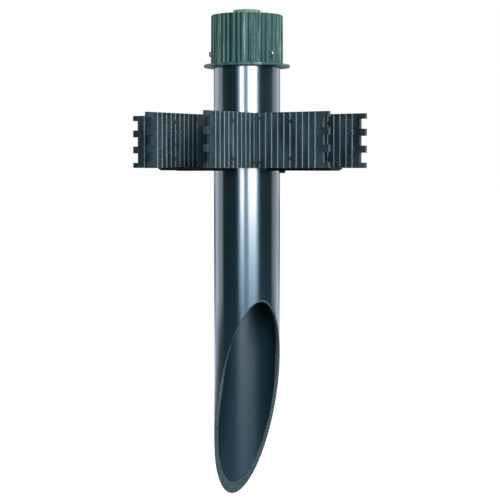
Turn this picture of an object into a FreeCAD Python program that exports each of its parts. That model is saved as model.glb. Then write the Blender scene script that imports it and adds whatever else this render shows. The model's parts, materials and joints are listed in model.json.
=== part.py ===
import FreeCAD, Part
import math
import os

os.makedirs("parts", exist_ok=True)

# Millimetres, +Z up. The spike tip is at z = 0 and the tube runs up the Z axis.
# The four stabilizer arms lie along +X, +Y, -X and -Y.

V = FreeCAD.Vector
ORIGIN = V(0, 0, 0)
UP = V(0, 0, 1)
QUARTER = 90.0
PAST = 1.0              # how far a cutting tool runs past the surface it cuts

# --- driving dimensions -------------------------------------------------------------
TUBE_R = 31.75          # 2 1/2 inch tube
TUBE_WALL = 4.0
TUBE_TOP = 463.0
BEVEL_FACING = -29.3    # direction the open side of the spike faces, degrees from +X
BEVEL_MID = 98.7        # height at which the bevel crosses the tube axis
BEVEL_SLOPE = BEVEL_MID / TUBE_R
ARCH_LIP = 1.6          # height of the bevelled lip left above the straight upper cut
# The straight upper cut widens in steps: distance in front of the axis, inset from the tube.
ARCH_STEPS = ((4.0, 3.3), (6.5, 2.6), (9.0, 2.0), (11.5, 1.5), (14.0, 1.0), (17.0, 0.5))

FIT = 0.10              # radial clearance of a bore that slides on the tube
CAP_FOOT = 417.3
CAP_TOP = 466.6
CAP_CEILING = 463.3
CAP_FOOT_R = 34.4
CAP_TOP_R = 34.1
CAP_ROUND = 1.1
FLANGE_R = 41.0
FLANGE_T = 2.6
FLANGE_ROUND = 0.8
HUB_R = 13.0
HUB_TOP = 471.5
HUB_LOW = 459.5
HUB_BORE_R = 10.0
HUB_FLUTES = 36
HUB_FLUTE_R = 0.5
FLUTE_R = 2.4
FLUTE_AXIS_R = 35.55
FLUTE_FOOT = 420.6
FLUTE_STEPS = (7.5, 10.0, 7.2, 12.0, 8.0)   # uneven turn from one flute to the next

SCREW_R = 2.4
SCREW_FIT = 0.05
SCREW_IN = 32.05
SCREW_OUT = 36.3
SCREW_Z = 429.4
SCREW_FIRST = -12.3     # direction of the first set screw, degrees from +X
SCREW_COUNT = 3
SOCKET_R = 1.4
SOCKET_DEPTH = 1.7
SLIT_W = 0.7            # narrow slit from the set screw hole down to the flange

WING_LOW = 321.9
WING_TOP = 372.8
WING_MID = (WING_LOW + WING_TOP) / 2.0
PLATE_IN = 31.0         # inner face of a wing plate, from the arm's centre line
PLATE_OUT = 34.4
SKIN = 0.8              # how far ribs stand out of the wall on each face
PLATE_END = 106.4
TOOTH_END = 112.2
RIM_H = 2.0
RIB_W = 1.2
RIB_PITCH = 6.7
RIB_FIRST = 37.8
RIB_COUNT = 11
END_POST_W = 1.8
TOOTH_BANDS = ((-25.45, -20.4), (-11.2, -4.5), (4.5, 11.2), (20.4, 25.45))
# Square blind pockets: distance from the tube axis, lift from mid height, side.
POCKETS = ((38.0, 20.3, 3.0), (71.8, 16.8, 3.4), (95.6, 20.3, 3.0), (101.9, 7.85, 4.2))
POCKET_FLOOR = 0.8      # plastic left between the pockets of the two faces

CORE_LOW = 319.4
FOOT_TOP = 322.9        # the lower bar stands 1 mm up between the wing panels
CORE_HALF = 10.0
CORE_END = 100.0
FIN_T = 2.4
FIN_END = 66.0
FIN_TOP = 368.0
SCALLOP_R = 1.45
SCALLOP_PITCH = 4.3
SCALLOP_FIRST = 56.0
SCALLOP_COUNT = 11

COLLAR_R = 36.0
COLLAR_TOP = 372.8
COLLAR_SPLIT = 22.5     # direction of the joint line between the collar halves
COLLAR_GAP = 0.2
RAIL_REACH = 41.0
RAIL_T = 2.0
RAIL_SLACK = 0.1
SADDLE_W = 9.0
SADDLE_REACH = 49.0
LUG_LOW = 317.0
LUG_R = 36.8
LUG_W = 5.0
LUG_AT = 41.3


# --- helpers ------------------------------------------------------------------------
def box(x0, x1, y0, y1, z0, z1):
    return Part.makeBox(x1 - x0, y1 - y0, z1 - z0, V(x0, y0, z0))


def rod(radius, z0, z1):
    return Part.makeCylinder(radius, z1 - z0, V(0, 0, z0), UP)


def turned(shape, degrees):
    copy = shape.copy()
    copy.rotate(ORIGIN, UP, degrees)
    return copy


def joined(shapes):
    whole = shapes[0].multiFuse(shapes[1:])
    return whole.removeSplitter()


def save(name, shape):
    if not shape.isValid():
        raise ValueError(name + " is not a valid solid")
    if len(shape.Solids) != 1:
        raise ValueError(name + " has " + str(len(shape.Solids)) + " solids")
    shape.Solids[0].exportStep(os.path.join("parts", name + ".step"))


# --- tube with the bevelled spike end ---------------------------------------------
def bevel_cutter():
    reach = TUBE_R + 10.0
    low = BEVEL_MID - BEVEL_SLOPE * reach
    high = BEVEL_MID + BEVEL_SLOPE * reach
    corners = [
        V(-reach, -reach, low),
        V(reach, -reach, high),
        V(reach, -reach, low - PAST),
        V(-reach, -reach, low - PAST),
    ]
    corners.append(corners[0])
    return Part.Face(Part.makePolygon(corners)).extrude(V(0, 2 * reach, 0))


def arch_cutters():
    # The upper part of the bevel is cut straight through along the facing direction.
    tall = BEVEL_SLOPE * TUBE_R - ARCH_LIP
    cutters = []
    for start, inset in ARCH_STEPS:
        centre = V(start, 0, BEVEL_MID)
        top = V(start, 0, BEVEL_MID + tall)
        side = V(start, TUBE_R - inset, BEVEL_MID)
        wire = Part.Wire([Part.Ellipse(top, side, centre).toShape()])
        cutters.append(Part.Face(wire).extrude(V(TUBE_R + PAST - start, 0, 0)))
    return cutters


def post_tube():
    tube = rod(TUBE_R, 0, TUBE_TOP)
    tube = tube.cut(rod(TUBE_R - TUBE_WALL, -PAST, TUBE_TOP + PAST))
    tube = turned(tube, -BEVEL_FACING)
    tube = tube.cut(bevel_cutter())
    tube = tube.cut(arch_cutters())
    return turned(tube, BEVEL_FACING)


# --- cap ------------------------------------------------------------------------------
def cap_flutes():
    cutters = []
    angle = 0.0
    step = 0
    last = 360.0 - min(FLUTE_STEPS)
    while angle < last:
        flute = Part.makeCylinder(
            FLUTE_R, CAP_TOP - FLUTE_FOOT + PAST, V(FLUTE_AXIS_R, 0, FLUTE_FOOT), UP
        )
        cutters.append(turned(flute, angle))
        angle += FLUTE_STEPS[step % len(FLUTE_STEPS)]
        step += 1
    return cutters


def hub_flutes():
    cutters = []
    for i in range(HUB_FLUTES):
        flute = Part.makeCylinder(
            HUB_FLUTE_R, HUB_TOP - CAP_TOP, V(HUB_R + 0.1, 0, CAP_TOP + 0.8), UP
        )
        cutters.append(turned(flute, i * 360.0 / HUB_FLUTES))
    return cutters


def screw_angles():
    return [SCREW_FIRST + i * 360.0 / SCREW_COUNT for i in range(SCREW_COUNT)]


def screw_holes():
    cutters = []
    for angle in screw_angles():
        hole = Part.makeCylinder(
            SCREW_R + SCREW_FIT, FLANGE_R - TUBE_R + PAST, V(TUBE_R - PAST, 0, SCREW_Z), V(1, 0, 0)
        )
        slit = box(
            CAP_TOP_R, FLANGE_R, -SLIT_W / 2, SLIT_W / 2, FLUTE_FOOT, SCREW_Z
        )
        cutters.append(turned(hole, angle))
        cutters.append(turned(slit, angle))
    return cutters


def cap():
    shell = Part.makeCone(CAP_FOOT_R, CAP_TOP_R, CAP_TOP - CAP_FOOT, V(0, 0, CAP_FOOT), UP)
    rim = [edge for edge in shell.Edges if edge.BoundBox.ZMin > CAP_TOP - 0.01]
    shell = shell.makeFillet(CAP_ROUND, rim)
    flange = rod(FLANGE_R, CAP_FOOT, CAP_FOOT + FLANGE_T)
    rims = [edge for edge in flange.Edges if len(edge.Vertexes) == 1]
    shell = shell.fuse(flange.makeFillet(FLANGE_ROUND, rims))
    shell = shell.cut(rod(TUBE_R + FIT, CAP_FOOT - PAST, CAP_CEILING))
    shell = shell.fuse(rod(HUB_R, HUB_LOW, HUB_TOP))
    shell = shell.cut(rod(HUB_BORE_R, HUB_LOW - PAST, HUB_TOP + PAST))
    return shell.cut(cap_flutes() + hub_flutes() + screw_holes())


def set_screw(angle):
    shank = Part.makeCylinder(SCREW_R, SCREW_OUT - SCREW_IN, V(SCREW_IN, 0, SCREW_Z), V(1, 0, 0))
    corners = []
    for i in range(7):
        turn = math.radians(60.0 * i)
        corners.append(
            V(SCREW_OUT, SOCKET_R * math.cos(turn), SCREW_Z + SOCKET_R * math.sin(turn))
        )
    socket = Part.Face(Part.makePolygon(corners)).extrude(V(-SOCKET_DEPTH, 0, 0))
    return turned(shank.cut(socket), angle)


# --- stabilizer -----------------------------------------------------------------------
def plate_along_x():
    face_in = PLATE_IN + SKIN
    face_out = PLATE_OUT - SKIN
    pieces = [
        box(PLATE_IN, PLATE_END, face_in, face_out, WING_LOW, WING_TOP),
        box(PLATE_IN, PLATE_END, PLATE_IN, PLATE_OUT, WING_LOW, WING_LOW + RIM_H),
        box(PLATE_IN, PLATE_END, PLATE_IN, PLATE_OUT, WING_TOP - RIM_H, WING_TOP),
        box(PLATE_END - END_POST_W, PLATE_END, PLATE_IN, PLATE_OUT, WING_LOW, WING_TOP),
    ]
    for i in range(RIB_COUNT):
        x = RIB_FIRST + i * RIB_PITCH
        pieces.append(
            box(x - RIB_W / 2, x + RIB_W / 2, PLATE_IN, PLATE_OUT, WING_LOW, WING_TOP)
        )
    for low, high in TOOTH_BANDS:
        pieces.append(
            box(PLATE_END - END_POST_W, TOOTH_END, PLATE_IN, PLATE_OUT,
                WING_MID + low, WING_MID + high)
        )
    return joined(pieces)


def plate_pockets():
    middle = (PLATE_IN + PLATE_OUT) / 2
    low = middle - POCKET_FLOOR / 2
    high = middle + POCKET_FLOOR / 2
    cutters = []
    for x, lift, side in POCKETS:
        half = side / 2
        for sign in (-1, 1):
            z = WING_MID + sign * lift
            cutters.append(box(x - half, x + half, PLATE_IN - PAST, low, z - half, z + half))
            cutters.append(box(x - half, x + half, high, PLATE_OUT + PAST, z - half, z + half))
    return cutters


def wing_panel(index):
    along_x = plate_along_x().cut(plate_pockets())
    along_y = along_x.mirror(ORIGIN, V(1, -1, 0))
    corner = box(PLATE_IN, PLATE_OUT, PLATE_IN, PLATE_OUT, WING_LOW, WING_TOP)
    return turned(joined([along_x, along_y, corner]), index * QUARTER)


def arm_core(index):
    foot = box(TUBE_R, CORE_END, -CORE_HALF, CORE_HALF, CORE_LOW, FOOT_TOP)
    fin = box(TUBE_R, FIN_END, -FIN_T / 2, FIN_T / 2, CORE_LOW, FIN_TOP)
    core = joined([foot, fin]).cut(rod(COLLAR_R, CORE_LOW - PAST, FIN_TOP + PAST))
    scallops = []
    for i in range(SCALLOP_COUNT):
        start = V(SCALLOP_FIRST + i * SCALLOP_PITCH, -CORE_HALF - PAST, CORE_LOW)
        scallops.append(
            Part.makeCylinder(SCALLOP_R, 2 * (CORE_HALF + PAST), start, V(0, 1, 0))
        )
    return turned(core.cut(scallops), index * QUARTER)


def collar_rails():
    rails = []
    low = FIN_T / 2 + RAIL_SLACK
    for i in range(4):
        for side in (-1, 1):
            edges = sorted((side * low, side * (low + RAIL_T)))
            rail = box(TUBE_R + FIT + 1.5, RAIL_REACH, edges[0], edges[1], FOOT_TOP, COLLAR_TOP)
            rails.append(turned(rail, i * QUARTER))
    return rails


def collar_saddles():
    # Each saddle has a V groove that takes the folded corner of a wing panel.
    saddle = box(
        TUBE_R + FIT + 1.5, SADDLE_REACH, -SADDLE_W / 2, SADDLE_W / 2, WING_LOW, COLLAR_TOP
    )
    saddle = turned(saddle, QUARTER / 2)
    saddle = saddle.cut(
        box(PLATE_IN, SADDLE_REACH, PLATE_IN, SADDLE_REACH, WING_LOW - PAST, COLLAR_TOP + PAST)
    )
    return [turned(saddle, i * QUARTER) for i in range(4)]


def collar_lug():
    ring = rod(LUG_R, LUG_LOW, WING_LOW + PAST)
    lug = box(TUBE_R, LUG_R, -LUG_W / 2, LUG_W / 2, LUG_LOW, WING_LOW + PAST)
    return turned(ring.common(lug), LUG_AT)


def collar():
    ring = rod(COLLAR_R, WING_LOW, COLLAR_TOP)
    whole = joined([ring, collar_lug()] + collar_rails() + collar_saddles())
    return whole.cut(rod(TUBE_R + FIT, LUG_LOW - PAST, COLLAR_TOP + PAST))


def collar_half(whole, side):
    reach = SADDLE_REACH + PAST
    low = COLLAR_GAP / 2
    cheek = box(-reach, reach, low, reach, LUG_LOW - PAST, COLLAR_TOP + PAST)
    return whole.common(turned(cheek, COLLAR_SPLIT + side * 180.0))


# --- write every piece -----------------------------------------------------------------
save("post_tube", post_tube())
save("cap", cap())
for number, screw_angle in enumerate(screw_angles(), 1):
    save("set_screw_" + str(number), set_screw(screw_angle))

full_collar = collar()
for number in (1, 2):
    save("collar_half_" + str(number), collar_half(full_collar, number - 1))
for number in range(1, 5):
    save("wing_panel_" + str(number), wing_panel(number - 1))
    save("arm_core_" + str(number), arm_core(number - 1))
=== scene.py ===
import bpy
import json
import math
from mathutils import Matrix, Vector


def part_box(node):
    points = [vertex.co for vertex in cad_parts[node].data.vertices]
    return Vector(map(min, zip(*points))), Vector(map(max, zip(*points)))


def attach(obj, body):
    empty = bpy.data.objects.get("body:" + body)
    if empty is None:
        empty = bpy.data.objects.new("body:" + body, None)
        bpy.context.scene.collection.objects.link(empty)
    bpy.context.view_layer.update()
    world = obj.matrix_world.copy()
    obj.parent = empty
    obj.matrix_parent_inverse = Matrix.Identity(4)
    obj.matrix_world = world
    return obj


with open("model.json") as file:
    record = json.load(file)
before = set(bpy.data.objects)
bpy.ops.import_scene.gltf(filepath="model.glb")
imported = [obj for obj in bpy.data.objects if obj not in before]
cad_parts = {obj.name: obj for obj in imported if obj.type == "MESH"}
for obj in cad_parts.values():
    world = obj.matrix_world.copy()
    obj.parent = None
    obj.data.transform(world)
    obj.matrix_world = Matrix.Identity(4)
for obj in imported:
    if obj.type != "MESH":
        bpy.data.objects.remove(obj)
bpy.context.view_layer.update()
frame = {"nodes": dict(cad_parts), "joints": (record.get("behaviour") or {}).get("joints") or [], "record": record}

# Metres and radians, in the CAD model's own frame: the tube's axis is X = Y = 0.
MM = 0.001

# ------------------------------------------------------- places on the CAD model
TUBE_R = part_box("post_tube")[1].x
TUBE_WALL = 4.0 * MM
TUBE_INSIDE_R = TUBE_R - TUBE_WALL + 0.2 * MM       # the bore's face is within this radius
TUBE_OUTSIDE_R = TUBE_R - 0.15 * MM                 # the outer face is beyond this one
BORE_LIT_TO = 140 * MM                              # painted shade darkens the bore's face above this
BORE_SHADED_FROM = 190 * MM

HUB_RISE = 4.9 * MM
CAP_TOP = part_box("cap")[1].z - HUB_RISE
VALLEY_R = 33.7 * MM                                # the flutes' floors are within this radius
CREST_R = 34.1 * MM
POWDER_AND_LIGHT_WAVES = 6.0                                    # bands of powder and painted light round the cap
POWDER_AND_LIGHT_TURN = 5.1                                     # turns the bands so a lighter one faces the camera and darker ones lie either side: painted light and shade

SCREW_AXES = [j["axis"] for j in frame["joints"] if j["child"].startswith("set_screw")]
SCREW_FIRST = math.atan2(SCREW_AXES[0][1], SCREW_AXES[0][0])
SCREW_APART = 2 * math.pi / len(SCREW_AXES)
SCREW_R = 2.4 * MM
SCREW_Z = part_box("set_screw_1")[1].z - SCREW_R
# Radius of the painted glint round each screw's axis.
SOCKET_GLINT_R = 1.2 * MM

PANEL_LOW, PANEL_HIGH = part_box("wing_panel_1")
WING_LOW = PANEL_LOW.z
PLATE_IN = PANEL_LOW.x                              # a plate's two faces, from the arm's middle
PLATE_OUT = PLATE_IN + 3.4 * MM
PLATE_FACE = 0.2 * MM                               # how near a face counts as on it
TOOTH_LENGTH = 5.8 * MM
PLATE_END = PANEL_HIGH.x - TOOTH_LENGTH
RIB_FIRST = 37.8 * MM
RIB_PITCH = 6.7 * MM
RIB_W = 1.2 * MM
RIB_EDGE = 0.12 * MM                                # the painted highlight stops this far short of each side of a rib
RIBS_LIT_TO = PLATE_END - 4.0 * MM                  # the painted highlight stops before the last rib, beside the teeth

HUB = next(m for m in frame["record"]["mounts"] if m["name"] == "hub_thread")
HUB_TOP = HUB["pos_m"][2]
HUB_BORE_R = HUB["dims"]["r_mm"] * MM
HUB_BORE_DEPTH = HUB["dims"]["length_mm"] * MM
THREAD_HEAD = HUB_TOP - 1.1 * MM
THREAD_FOOT = HUB_TOP - HUB_BORE_DEPTH + 0.9 * MM
THREAD_PITCH = 1.814 * MM                           # 14 threads to the inch
THREAD_ROOT_R = HUB_BORE_R + 0.02 * MM              # sunk a little into the bore's wall
THREAD_CREST_R = HUB_BORE_R - 0.65 * MM
THREAD_HALF = 0.72 * MM                             # half the ridge's height at its root
THREAD_STEPS = 40                                   # sections in each turn

# ------------------------------------------------------------- camera and studio
# The camera stands a little above the part's middle and looks slightly down on it, turned so
# that the +X and -Y arms come forward.
VIEW_ANGLE = math.radians(-55.26)
CAMERA_DISTANCE = 1.340
CAMERA_HEIGHT = 0.3241
CAMERA_AIM = 0.2432
CAMERA_LENS = 100.54
CAMERA_SENSOR = 36.0
CAMERA_SHIFT = 0.0061

FLOOR_SIZE = 30.0
FLOOR_Z = -0.5 * MM             # just under the spike's tip

STRIP_DISTANCE = 1.7
# name: degrees from the camera, width
STRIPS = {"left": (-18.2, 0.35), "right": (18.1, 0.92)}


# ----------------------------------------------------------------------- colours
def rgb(red, green, blue):
    return (red, green, blue, 1.0)


def grey(level):
    return rgb(level, level, level)


# Two colours are the darkest and the lightest that a surface varies between.
TUBE_OUTER = rgb(0.0012, 0.0038, 0.0047), rgb(0.0024, 0.0058, 0.0070)
TUBE_INNER = rgb(0.0012, 0.0052, 0.0074), rgb(0.0024, 0.0084, 0.0114)
# Painted shade up inside the tube's bore.
TUBE_BORE_PAINTED_SHADE = rgb(0.0004, 0.0020, 0.0027)
TUBE_SAWN = rgb(0.0010, 0.0034, 0.0044), rgb(0.030, 0.044, 0.048)
CAP_PAINT = rgb(0.0002, 0.0082, 0.0066), rgb(0.0005, 0.0165, 0.0124)
CAP_POWDER = rgb(0.042, 0.080, 0.062), rgb(0.115, 0.165, 0.134)
WING_WALL = rgb(0.0014, 0.0042, 0.0052), rgb(0.0060, 0.0112, 0.0134)
# The ribs' lighter colour is a painted highlight.
WING_RIB_HIGHLIGHT = rgb(0.036, 0.050, 0.056), rgb(0.105, 0.130, 0.140)
# Painted shade below the wing panels.
COLLAR_PAINTED_SHADE = rgb(0.0004, 0.0006, 0.0007), rgb(0.0014, 0.0020, 0.0023)
COLLAR_BODY = rgb(0.0016, 0.0040, 0.0048), rgb(0.0060, 0.0105, 0.0125)
SCREW_OXIDE = rgb(0.004, 0.010, 0.008), rgb(0.050, 0.065, 0.060)
# Painted glint in the screws' sockets.
SCREW_SOCKET_GLINT = rgb(0.85, 0.86, 0.86)

FLOOR_MIRRORED = rgb(0.05, 0.08, 0.11), rgb(0.07, 0.10, 0.13)
FLOOR_BEHIND = rgb(0.80, 0.88, 1.0)
FLOOR_SEEN = grey(0.62)
FLOOR_GLOW = grey(1.1)
SKY_SOFT = rgb(0.88, 0.95, 1.0)
SKY_SEEN = grey(1.0)

LAMP_WHITE = (1.0, 1.0, 1.0)
LAMP_PALE = (0.72, 0.88, 1.0)
LAMP_BLUE = (0.42, 0.66, 1.0)
LAMP_BETWEEN = (0.42, 0.74, 1.0)
LAMP_RIM_LEFT = (0.66, 0.82, 1.0)
LAMP_RIM_RIGHT = (0.70, 0.84, 1.0)

# The strips' parts, from the top down: lowest and highest point, brightness, colour.
STRIP_PARTS = {
    "high": (0.22, 0.95, 30, LAMP_WHITE),
    "mid": (0.13, 0.22, 7, LAMP_PALE),
    "low": (0.0, 0.13, 5.0, LAMP_BLUE),
}


def direction(angle):
    return Vector((math.cos(angle), math.sin(angle), 0.0))


# ------------------------------------------------------------------ node helpers
class Tree:
    """The node tree of a material or a world, with short calls for the nodes used below."""

    def __init__(self, owner, output="ShaderNodeOutputMaterial", place="Object"):
        owner.use_nodes = True
        self.owner = owner
        self.nodes = owner.node_tree.nodes
        self.links = owner.node_tree.links
        self.nodes.clear()
        self.output = self.nodes.new(output)
        self.place = self.nodes.new("ShaderNodeTexCoord").outputs[place]

    def put(self, socket, value):
        if isinstance(value, bpy.types.NodeSocket):
            self.links.new(value, socket)
        else:
            socket.default_value = value

    def math(self, operation, first, second=0.0, clamp=False):
        node = self.nodes.new("ShaderNodeMath")
        node.operation = operation
        node.use_clamp = clamp
        self.put(node.inputs[0], first)
        self.put(node.inputs[1], second)
        return node.outputs[0]

    def plus(self, first, second, clamp=False):
        return self.math("ADD", first, second, clamp)

    def minus(self, first, second, clamp=False):
        return self.math("SUBTRACT", first, second, clamp)

    def times(self, first, *others):
        for other in others:
            first = self.math("MULTIPLY", first, other)
        return first

    def invert(self, value):
        return self.minus(1.0, value)

    def length(self, first, second):
        squares = self.plus(self.times(first, first), self.times(second, second))
        return self.math("SQRT", squares)

    def near(self, value, target, width):
        """1 where value is within width of target, else 0."""
        away = self.math("ABSOLUTE", self.minus(value, target))
        return self.math("LESS_THAN", away, width)

    def from_nearest(self, value, first, pitch):
        """How far value is past the nearest of first, first + pitch, first + 2 pitch, ..."""
        past = self.minus(value, first - pitch / 2)
        return self.minus(self.math("FLOORED_MODULO", past, pitch), pitch / 2)

    def xyz(self):
        node = self.nodes.new("ShaderNodeSeparateXYZ")
        self.links.new(self.place, node.inputs[0])
        return node.outputs[0], node.outputs[1], node.outputs[2]

    def radius(self):
        x, y, _ = self.xyz()
        return self.length(x, y)

    def along(self, heading):
        """How far the place lies along a heading."""
        node = self.nodes.new("ShaderNodeVectorMath")
        node.operation = "DOT_PRODUCT"
        self.links.new(self.place, node.inputs[0])
        node.inputs[1].default_value = heading
        return node.outputs["Value"]

    def combine(self, x, y, z):
        node = self.nodes.new("ShaderNodeCombineXYZ")
        self.put(node.inputs[0], x)
        self.put(node.inputs[1], y)
        self.put(node.inputs[2], z)
        return node.outputs[0]

    def noise(self, scale, detail, stretch=(1, 1, 1), roughness=0.55, vector=None):
        mapping = self.nodes.new("ShaderNodeMapping")
        mapping.inputs["Scale"].default_value = stretch
        self.links.new(vector or self.place, mapping.inputs["Vector"])
        node = self.nodes.new("ShaderNodeTexNoise")
        node.inputs["Scale"].default_value = scale
        node.inputs["Detail"].default_value = detail
        node.inputs["Roughness"].default_value = roughness
        self.links.new(mapping.outputs[0], node.inputs["Vector"])
        return node.outputs[0]

    def span(self, value, low, high, to_low=0.0, to_high=1.0, smooth=False):
        """Value from low to high becomes to_low to to_high, and stops there."""
        node = self.nodes.new("ShaderNodeMapRange")
        if smooth:
            node.interpolation_type = "SMOOTHSTEP"
        self.put(node.inputs["Value"], value)
        node.inputs["From Min"].default_value = low
        node.inputs["From Max"].default_value = high
        node.inputs["To Min"].default_value = to_low
        node.inputs["To Max"].default_value = to_high
        return node.outputs["Result"]

    def mix(self, amount, first, second):
        node = self.nodes.new("ShaderNodeMix")
        node.data_type = "RGBA"
        self.put(node.inputs[0], amount)
        self.put(node.inputs[6], first)
        self.put(node.inputs[7], second)
        return node.outputs[2]

    def rounded(self, radius):
        node = self.nodes.new("ShaderNodeBevel")
        node.samples = 4
        node.inputs["Radius"].default_value = radius
        return node.outputs[0]

    def bump(self, height, distance, strength, normal):
        node = self.nodes.new("ShaderNodeBump")
        node.inputs["Strength"].default_value = strength
        node.inputs["Distance"].default_value = distance
        self.links.new(height, node.inputs["Height"])
        self.links.new(normal, node.inputs["Normal"])
        return node.outputs[0]

    def shader(self, color, roughness, specular, normal=None, metallic=0.0):
        node = self.nodes.new("ShaderNodeBsdfPrincipled")
        self.put(node.inputs["Base Color"], color)
        self.put(node.inputs["Roughness"], roughness)
        self.put(node.inputs["Metallic"], metallic)
        self.put(node.inputs["Specular IOR Level"], specular)
        if normal is not None:
            self.links.new(normal, node.inputs["Normal"])
        return node.outputs[0]

    def glow(self, kind, color, strength=1.0):
        node = self.nodes.new(kind)
        node.inputs["Color"].default_value = color
        self.put(node.inputs["Strength"], strength)
        return node.outputs[0]

    def camera_ray(self):
        return self.nodes.new("ShaderNodeLightPath").outputs["Is Camera Ray"]

    def mix_shaders(self, amount, first, second):
        node = self.nodes.new("ShaderNodeMixShader")
        self.links.new(amount, node.inputs[0])
        self.links.new(first, node.inputs[1])
        self.links.new(second, node.inputs[2])
        return node.outputs[0]

    def finish(self, shader):
        self.links.new(shader, self.output.inputs["Surface"])
        return self.owner


def new_material(name):
    return Tree(bpy.data.materials.new(name))


# --------------------------------------------------------------------- materials
def tube_material():
    t = new_material("tube_gloss_plastic")
    radius = t.radius()
    _, _, z = t.xyz()
    inside = t.math("LESS_THAN", radius, TUBE_INSIDE_R)
    outside = t.math("GREATER_THAN", radius, TUBE_OUTSIDE_R)
    cut = t.minus(t.invert(inside), outside, clamp=True)

    streaks = t.noise(60, detail=5, stretch=(1, 1, 0.02))
    grain = t.noise(900, detail=3)
    scuffs = t.noise(140, detail=6, stretch=(1, 1, 0.12), roughness=0.7)
    saw_marks = t.noise(520, detail=4, stretch=(1, 1, 3.0), roughness=0.7)
    waves = t.noise(26, detail=1, stretch=(1, 1, 0.25))

    # Painted shade: the bore's face darkens higher up inside the tube.
    bore_shade = t.span(z, BORE_LIT_TO, BORE_SHADED_FROM, smooth=True)
    outer = t.mix(streaks, *TUBE_OUTER)
    inner = t.mix(bore_shade, t.mix(streaks, *TUBE_INNER), TUBE_BORE_PAINTED_SHADE)
    sawn = t.mix(t.span(grain, 0.38, 0.62), *TUBE_SAWN)
    color = t.mix(cut, t.mix(inside, outer, inner), sawn)

    rough_outer = t.plus(t.span(scuffs, 0.62, 0.78, 0.0, 0.08), t.span(streaks, 0.3, 0.7, 0.15, 0.19))
    rough_inner = t.span(grain, 0.3, 0.7, 0.34, 0.42)
    rough = t.plus(t.times(rough_outer, t.invert(inside)), t.times(rough_inner, inside))
    rough = t.plus(rough, t.times(cut, 0.45), clamp=True)

    height = t.plus(t.times(saw_marks, cut), t.times(waves, 0.10))
    normal = t.bump(height, distance=0.35 * MM, strength=0.6, normal=t.rounded(0.5 * MM))
    gleam = t.span(t.plus(inside, cut), 0.0, 1.0, 0.55, 0.22)
    return t.finish(t.shader(color, rough, gleam, normal))


def cap_material():
    t = new_material("cap_textured_paint")
    x, y, z = t.xyz()
    angle = t.math("ARCTAN2", y, x)
    around = t.combine(angle, 0.0, t.times(z, 1.5))
    bands = t.noise(5.2, detail=3, roughness=0.75, vector=around)
    fine_bands = t.noise(16, detail=3, roughness=0.6, vector=around)
    grain = t.noise(650, detail=4, roughness=0.65)
    dust = t.noise(1500, detail=2)

    # Lighter powder lies on the flutes' crests, in bands that come and go round the cap, and as plain
    # speckle on the top face; the cosine bands round the cap add painted light and shade.
    # Painted light and shade: a lighter band faces the camera and darker ones lie either side of it.
    wave = t.math("COSINE", t.plus(t.times(angle, POWDER_AND_LIGHT_WAVES), POWDER_AND_LIGHT_TURN))
    powder_and_light = t.span(wave, -0.8, 0.8, smooth=True)
    crest = t.span(t.radius(), VALLEY_R, CREST_R, smooth=True)
    crest = t.math("MAXIMUM", crest, t.times(powder_and_light, 0.25))
    band = t.span(t.times(t.plus(bands, fine_bands), 0.5), 0.44, 0.60, smooth=True)
    top = t.math("GREATER_THAN", z, CAP_TOP - 0.3 * MM)
    side_powder = t.times(band, t.span(grain, 0.40, 0.60, 0.30, 1.0), crest,
                          t.span(powder_and_light, 0.0, 1.0, 0.28, 1.0), t.invert(top))
    top_powder = t.times(top, t.span(grain, 0.40, 0.60, 0.30, 0.75))
    powder = t.plus(side_powder, top_powder)

    color = t.mix(powder, t.mix(grain, *CAP_PAINT), t.mix(dust, *CAP_POWDER))
    rough = t.span(grain, 0.3, 0.7, 0.36, 0.54)
    height = t.plus(t.times(grain, 0.7), t.times(dust, 0.3))
    normal = t.bump(height, distance=0.2 * MM, strength=0.5, normal=t.rounded(0.3 * MM))
    return t.finish(t.shader(color, rough, 0.12, normal))


def moulded_grain(t):
    """Fine grain, its drawn-out upright streaks, and the two together as a height."""
    grain = t.noise(700, detail=4, roughness=0.6)
    drawn = t.noise(420, detail=3, stretch=(1, 1, 0.08))
    return grain, drawn, t.plus(grain, t.times(drawn, 0.6))


def rib_highlight_mask(t):
    """1 where the painted highlight goes: on the raised faces of the wing panels' ribs, on both sides of a plate.
    """
    x, y, _ = t.xyz()
    from_x, from_y = t.math("ABSOLUTE", x), t.math("ABSOLUTE", y)
    along, across = t.math("MAXIMUM", from_x, from_y), t.math("MINIMUM", from_x, from_y)
    raised = t.math("MAXIMUM", t.near(across, PLATE_IN, PLATE_FACE),
                    t.near(across, PLATE_OUT, PLATE_FACE))
    on_rib = t.near(t.from_nearest(along, RIB_FIRST, RIB_PITCH), 0.0, RIB_W / 2 - RIB_EDGE)
    lit = t.math("LESS_THAN", along, RIBS_LIT_TO)
    return t.times(raised, on_rib, lit)


def wing_material():
    t = new_material("wing_moulded_plastic")
    grain, drawn, height = moulded_grain(t)
    blotch = t.noise(55, detail=4, stretch=(1, 1, 0.6))
    wall = t.mix(t.span(blotch, 0.38, 0.62), *WING_WALL)
    rib_highlight = t.mix(drawn, *WING_RIB_HIGHLIGHT)
    # Painted highlight on the ribs' raised faces.
    color = t.mix(t.times(rib_highlight_mask(t), t.span(grain, 0.3, 0.6, 0.55, 1.0)), wall, rib_highlight)
    rough = t.span(blotch, 0.3, 0.7, 0.38, 0.54)
    normal = t.bump(height, distance=0.18 * MM, strength=0.5, normal=t.rounded(0.35 * MM))
    return t.finish(t.shader(color, rough, 0.2, normal))


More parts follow.
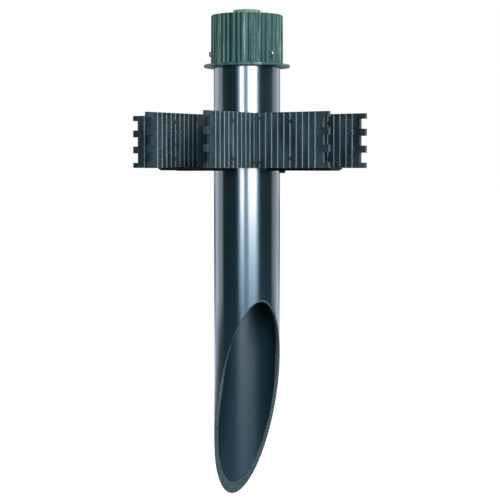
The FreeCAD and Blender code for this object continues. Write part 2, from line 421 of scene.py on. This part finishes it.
def collar_material():
    """Painted shade: black below the wing panels, which shade it, and the panels' dark colour between them."""
    t = new_material("collar_plastic_painted_shade")
    grain, drawn, height = moulded_grain(t)
    _, _, z = t.xyz()
    # Painted shade: black below the wing panels' lower edge.
    above_shade = t.span(z, WING_LOW, WING_LOW + 2.0 * MM, smooth=True)
    color = t.mix(above_shade, t.mix(drawn, *COLLAR_PAINTED_SHADE), t.mix(drawn, *COLLAR_BODY))
    rough = t.span(grain, 0.3, 0.7, 0.44, 0.60)
    normal = t.bump(height, distance=0.2 * MM, strength=0.5, normal=t.rounded(0.35 * MM))
    return t.finish(t.shader(color, rough, 0.06, normal))


def screw_material():
    """Dark oxide, with a painted glint: a bright white spot in the socket at the outer end."""
    t = new_material("screw_oxide_steel")
    turned = t.noise(900, detail=3, stretch=(1, 1, 6))
    spots = t.noise(1400, detail=3)
    x, y, z = t.xyz()
    turn = t.from_nearest(t.math("ARCTAN2", y, x), SCREW_FIRST, SCREW_APART)
    aside = t.times(t.radius(), t.math("SINE", turn))
    # Painted glint: the socket round the screw's axis is painted bright white.
    socket = t.math("LESS_THAN", t.length(aside, t.minus(z, SCREW_Z)), SOCKET_GLINT_R)
    color = t.mix(socket, t.mix(spots, *SCREW_OXIDE), SCREW_SOCKET_GLINT)
    rough = t.span(turned, 0.3, 0.7, 0.36, 0.54)
    metallic = t.times(t.invert(socket), 0.2)
    normal = t.bump(turned, distance=0.08 * MM, strength=0.6, normal=t.rounded(0.15 * MM))
    return t.finish(t.shader(color, rough, 0.2, normal, metallic))


def floor_material():
    """Near white where the camera sees it, and dark where the part's gloss mirrors it."""
    t = new_material("studio_floor")
    camera_ray = t.camera_ray()
    nearer = t.span(t.along(direction(VIEW_ANGLE)), -0.9, -0.3, smooth=True)
    mirrored = t.mix(t.noise(6, detail=2), *FLOOR_MIRRORED)
    mirrored = t.mix(nearer, FLOOR_BEHIND, mirrored)
    matt = t.shader(t.mix(camera_ray, mirrored, FLOOR_SEEN), 0.8, 0.2)
    far = t.span(t.radius(), 0.2, 1.2, 0.85, 1.0, smooth=True)
    glow = t.glow("ShaderNodeEmission", FLOOR_GLOW)
    return t.finish(t.mix_shaders(t.times(camera_ray, far), matt, glow))


def put_on_materials(materials):
    for name, node in frame["nodes"].items():
        chosen = next(m for key, m in materials.items() if name.startswith(key))
        node.data.materials.clear()
        node.data.materials.append(chosen)


# ------------------------------------------------------------------ added pieces
def hub_thread(material):
    """The thread in the hub: one ridge of three-cornered section wound up the bore."""
    corners = ((THREAD_ROOT_R, -THREAD_HALF), (THREAD_CREST_R, 0.0), (THREAD_ROOT_R, THREAD_HALF))
    count = int((THREAD_HEAD - THREAD_FOOT) / THREAD_PITCH * THREAD_STEPS)
    points, faces = [], [(0, 1, 2), (3 * count + 2, 3 * count + 1, 3 * count)]
    for i in range(count + 1):
        angle = 2 * math.pi * i / THREAD_STEPS
        z = THREAD_FOOT + THREAD_PITCH * i / THREAD_STEPS
        for radius, lift in corners:
            points.append((radius * math.cos(angle), radius * math.sin(angle), z + lift))
    for i in range(count):
        a, b = 3 * i, 3 * (i + 1)
        for j, k in ((0, 1), (1, 2), (2, 0)):
            faces.append((a + k, a + j, b + j, b + k))
    mesh = bpy.data.meshes.new("hub_thread")
    mesh.from_pydata(points, [], faces)
    mesh.update()
    mesh.materials.append(material)
    piece = bpy.data.objects.new("hub_thread", mesh)
    bpy.context.scene.collection.objects.link(piece)
    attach(piece, "cap")


# ------------------------------------------------------------------------ studio
def look_at(obj, target):
    obj.rotation_euler = (target - obj.location).to_track_quat("-Z", "Y").to_euler()


def area_light(name, turn, distance, height, aim, width, tall, power, color):
    """A panel of light that faces the tube's axis, so many degrees round from the camera."""
    data = bpy.data.lights.new(name, "AREA")
    data.shape = "RECTANGLE"
    data.size = width
    data.size_y = tall
    data.energy = power
    data.color = color
    lamp = bpy.data.objects.new(name, data)
    bpy.context.scene.collection.objects.link(lamp)
    lamp.location = direction(VIEW_ANGLE + math.radians(turn)) * distance + Vector((0, 0, height))
    look_at(lamp, Vector((0, 0, aim)))


def panel_power(brightness, width, tall):
    return brightness * math.pi * width * tall


def studio_floor():
    bpy.ops.mesh.primitive_plane_add(size=FLOOR_SIZE, location=(0, 0, FLOOR_Z))
    floor = bpy.context.object
    floor.name = "studio_floor"
    floor.data.materials.append(floor_material())


def studio_lights():
    # Tall strips near the camera draw the two streaks down the tube and fade low down.
    for side, (turn, width) in STRIPS.items():
        for part, (low, high, brightness, color) in STRIP_PARTS.items():
            middle, tall = (low + high) / 2, high - low
            area_light("strip_" + side + "_" + part, turn, STRIP_DISTANCE, middle, middle,
                       width, tall, panel_power(brightness, width, tall), color)
    area_light("strip_between", turn=4.5, distance=1.75, height=0.5, aim=0.5, width=2.6, tall=1.0,
               power=panel_power(6.5, 2.6, 1.0), color=LAMP_BETWEEN)
    # Rims light the outline from behind, and fills light the cap and the panels from above.
    area_light("rim_left", turn=-118, distance=1.7, height=0.4, aim=0.35, width=1.5, tall=1.6,
               power=22, color=LAMP_RIM_LEFT)
    area_light("rim_right", turn=122, distance=1.7, height=0.4, aim=0.35, width=1.5, tall=1.6,
               power=18, color=LAMP_RIM_RIGHT)
    area_light("fill_right", turn=70, distance=1.2, height=1.6, aim=0.3, width=0.9, tall=0.9,
               power=100, color=LAMP_WHITE)
    area_light("fill_left", turn=-60, distance=1.2, height=1.6, aim=0.3, width=0.9, tall=0.9,
               power=6, color=LAMP_WHITE)


def studio_world():
    """Plain white where the camera sees it; the light from it is strongest behind the part."""
    t = Tree(bpy.data.worlds.new("studio"), "ShaderNodeOutputWorld", "Generated")
    strength = t.span(t.along(direction(VIEW_ANGLE)), -0.9, 0.5, 0.75, 0.04)
    soft = t.glow("ShaderNodeBackground", SKY_SOFT, strength)
    seen = t.glow("ShaderNodeBackground", SKY_SEEN)
    bpy.context.scene.world = t.finish(t.mix_shaders(t.camera_ray(), soft, seen))


def studio_camera():
    data = bpy.data.cameras.new("camera")
    data.sensor_width = CAMERA_SENSOR
    data.lens = CAMERA_LENS
    data.shift_x = CAMERA_SHIFT
    camera = bpy.data.objects.new("camera", data)
    bpy.context.scene.collection.objects.link(camera)
    camera.location = direction(VIEW_ANGLE) * CAMERA_DISTANCE + Vector((0, 0, CAMERA_HEIGHT))
    look_at(camera, Vector((0, 0, CAMERA_AIM)))
    bpy.context.scene.camera = camera


# -------------------------------------------------------------------- the making
COLLAR = collar_material()
CAP = cap_material()
put_on_materials({
    "post_tube": tube_material(),
    "cap": CAP,
    "set_screw": screw_material(),
    "collar_half": COLLAR,
    "arm_core": COLLAR,
    "wing_panel": wing_material(),
})
hub_thread(CAP)

studio_floor()
studio_lights()
studio_world()
studio_camera()
bpy.context.scene.view_settings.view_transform = "Standard"
